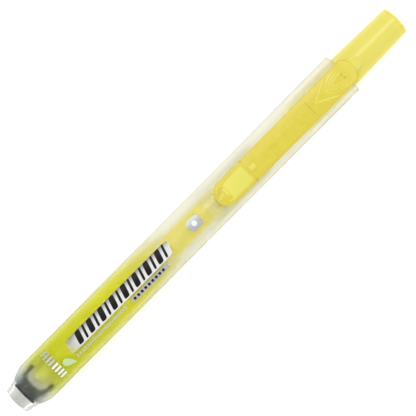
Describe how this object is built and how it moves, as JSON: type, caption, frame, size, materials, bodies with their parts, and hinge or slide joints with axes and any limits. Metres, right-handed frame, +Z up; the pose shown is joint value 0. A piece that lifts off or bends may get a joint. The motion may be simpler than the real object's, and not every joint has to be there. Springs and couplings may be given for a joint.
{
  "type": "retractable highlighter",
  "caption": "Push-button highlighter pen with a frosted barrel, a clip that slides with the button, a chisel nib on a latched refill and a two-leaf shutter behind the nose.",
  "frame": {"origin": "middle of the pen's length, under the barrel, on the surface that it lies on", "axes": "+X from the nose to the push button, +Z up through the clip, +Y across the pen"},
  "size_m": [0.142, 0.0124, 0.0143],
  "materials": {
    "frosted_barrel": "frosted translucent polypropylene",
    "clear_nose": "clear, slightly frosted",
    "black_elastomer": "matt",
    "dark_shutter": "matt",
    "pin_steel": "satin",
    "fluorescent_sleeve": "translucent fluorescent yellow-green",
    "soft_seal": "matt",
    "natural_plastic": "natural moulded plastic",
    "spring_steel": "drawn wire",
    "ink_fibre": "bonded fibre with ink",
    "ink_tube": "translucent pale yellow",
    "latch_plastic": "moulded plastic",
    "yellow_button": "translucent yellow, glossy"
  },
  "bodies": {
    "casing": {"barrel": "frosted_barrel", "nose_cone": "clear_nose", "seat_ring": "black_elastomer", "shutter_pins": "pin_steel", "chamber_sleeve": "fluorescent_sleeve", "chamber_seal": "soft_seal", "seal_retainer": "natural_plastic", "main_spring": "spring_steel", "cam_sleeve": "natural_plastic"},
    "knock": {"knock_button": "yellow_button", "knock_crown": "latch_plastic"},
    "refill": {"nib": "ink_fibre", "nib_holder": "natural_plastic", "holder_seal": "soft_seal", "ink_tube": "ink_tube", "ink_core": "ink_fibre", "tail_plug": "natural_plastic"},
    "rotor": {"cam_rotor": "latch_plastic"},
    "upper_leaf": {"upper_shutter": "dark_shutter"},
    "lower_leaf": {"lower_shutter": "dark_shutter"}
  },
  "joints": [
    {"name": "knock_slide", "type": "slide", "parent": "casing", "child": "knock", "axis": [-1, 0, 0], "range_m": [0, 0.013], "stiffness_N_per_m": 60, "deforming": ["main_spring"]},
    {"name": "refill_slide", "type": "slide", "parent": "casing", "child": "refill", "axis": [-1, 0, 0], "range_m": [0, 0.013]},
    {"name": "rotor_turn", "type": "hinge", "parent": "refill", "child": "rotor", "pos_m": [0.0115, 0, 0.00616], "axis": [1, 0, 0], "range_deg": [0, 23]},
    {"name": "upper_leaf_turn", "type": "hinge", "parent": "casing", "child": "upper_leaf", "pos_m": [-0.062, 0, 0.00616], "axis": [0, 1, 0], "range_deg": [0, 92]},
    {"name": "lower_leaf_turn", "type": "hinge", "parent": "casing", "child": "lower_leaf", "pos_m": [-0.062, 0, 0.00616], "axis": [0, -1, 0], "range_deg": [0, 92]}
  ],
  "couplings": [
    {"joint": "refill_slide", "follows": "knock_slide", "ratio": 1},
    {"joint": "rotor_turn", "follows": "knock_slide", "rad_per_m": 30.2},
    {"joint": "upper_leaf_turn", "follows": "knock_slide", "rad_per_m": 123},
    {"joint": "lower_leaf_turn", "follows": "knock_slide", "rad_per_m": 123}
  ]
}
